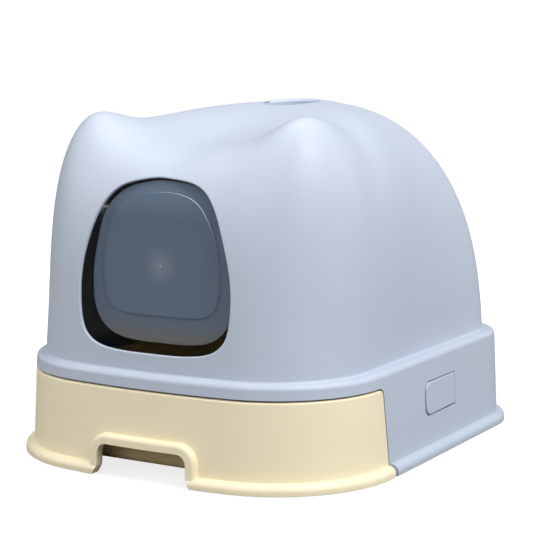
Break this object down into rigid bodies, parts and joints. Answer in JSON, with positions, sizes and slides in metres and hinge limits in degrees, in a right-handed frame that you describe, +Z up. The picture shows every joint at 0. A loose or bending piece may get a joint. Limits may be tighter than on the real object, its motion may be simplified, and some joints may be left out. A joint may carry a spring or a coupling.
{
  "type": "drawer litter box",
  "caption": "Closed litter box: eared moulded hood with a see-through swing flap, a pull-out drawer with the litter tray, side release tongues and a vent port in the crown.",
  "frame": {"origin": "middle of the foot on the floor (centre of the bounding box's bottom)", "axes": "+Z up, -Y towards the front with the entrance, +X to the right of someone who faces the entrance"},
  "size_m": [0.4, 0.4682, 0.3478],
  "materials": {
    "hood_shell": "fine matte moulded blue-grey",
    "drawer_cream": "satin moulded cream",
    "flap_smoke": "smoke-tinted see-through",
    "bracket_clear": "clear",
    "pin_white": "plain white acetal",
    "screw_steel": "zinc plated",
    "frame_grey": "matte moulded grey",
    "runner_white": "smooth slide plastic",
    "clip_grey": "matte moulded grey",
    "soft_rubber": "soft black",
    "vent_grey": "matte moulded grey",
    "filter_black": "activated carbon felt"
  },
  "bodies": {
    "base": {"base_frame": "frame_grey", "foot_pads": "soft_rubber", "stop_buffers": "soft_rubber", "runner_left": "runner_white", "runner_right": "runner_white"},
    "hood": {"hood": "hood_shell", "hood_skirt": "hood_shell", "flap_bracket_left": "bracket_clear", "flap_bracket_right": "bracket_clear", "flap_pin_left": "pin_white", "flap_pin_right": "pin_white", "bracket_screws": "screw_steel", "filter_holder": "vent_grey", "odour_filter": "filter_black"},
    "flap": {"flap_door": "flap_smoke"},
    "grille": {"vent_grille": "vent_grey"},
    "drawer": {"litter_tray": "drawer_cream", "drawer_front": "drawer_cream"},
    "tongue_left": {"release_tongue_left": "hood_shell"},
    "tongue_right": {"release_tongue_right": "hood_shell"},
    "clip_left": {"hood_clip_left": "clip_grey"},
    "clip_right": {"hood_clip_right": "clip_grey"}
  },
  "joints": [
    {"name": "hood_lift", "type": "slide", "parent": "base", "child": "hood", "axis": [0, 0, 1], "range_m": [0, 0.35]},
    {"name": "drawer_slide", "type": "slide", "parent": "base", "child": "drawer", "axis": [0, -1, 0], "range_m": [0, 0.4]},
    {"name": "flap_swing", "type": "hinge", "parent": "hood", "child": "flap", "pos_m": [0, -0.18804, 0.2515], "axis": [1, 0, 0], "range_deg": [-38, 75]},
    {"name": "grille_lift", "type": "slide", "parent": "hood", "child": "grille", "axis": [0, -0.0872, 0.9962], "range_m": [0, 0.05]},
    {"name": "tongue_press_left", "type": "hinge", "parent": "hood", "child": "tongue_left", "pos_m": [-0.18798, 0.06006, 0.0576], "axis": [0, 0, 1], "range_deg": [0, 5.5], "stiffness_Nm_per_rad": 2},
    {"name": "clip_bend_left", "type": "hinge", "parent": "base", "child": "clip_left", "pos_m": [-0.176, 0.01206, 0.0082], "axis": [0, 1, 0], "range_deg": [0, 6], "stiffness_Nm_per_rad": 2},
    {"name": "tongue_press_right", "type": "hinge", "parent": "hood", "child": "tongue_right", "pos_m": [0.18798, 0.06006, 0.0576], "axis": [0, 0, -1], "range_deg": [0, 5.5], "stiffness_Nm_per_rad": 2},
    {"name": "clip_bend_right", "type": "hinge", "parent": "base", "child": "clip_right", "pos_m": [0.176, 0.01206, 0.0082], "axis": [0, -1, 0], "range_deg": [0, 6], "stiffness_Nm_per_rad": 2}
  ],
  "couplings": [
    {"joint": "clip_bend_left", "follows": "tongue_press_left", "ratio": 1},
    {"joint": "clip_bend_right", "follows": "tongue_press_right", "ratio": 1}
  ]
}
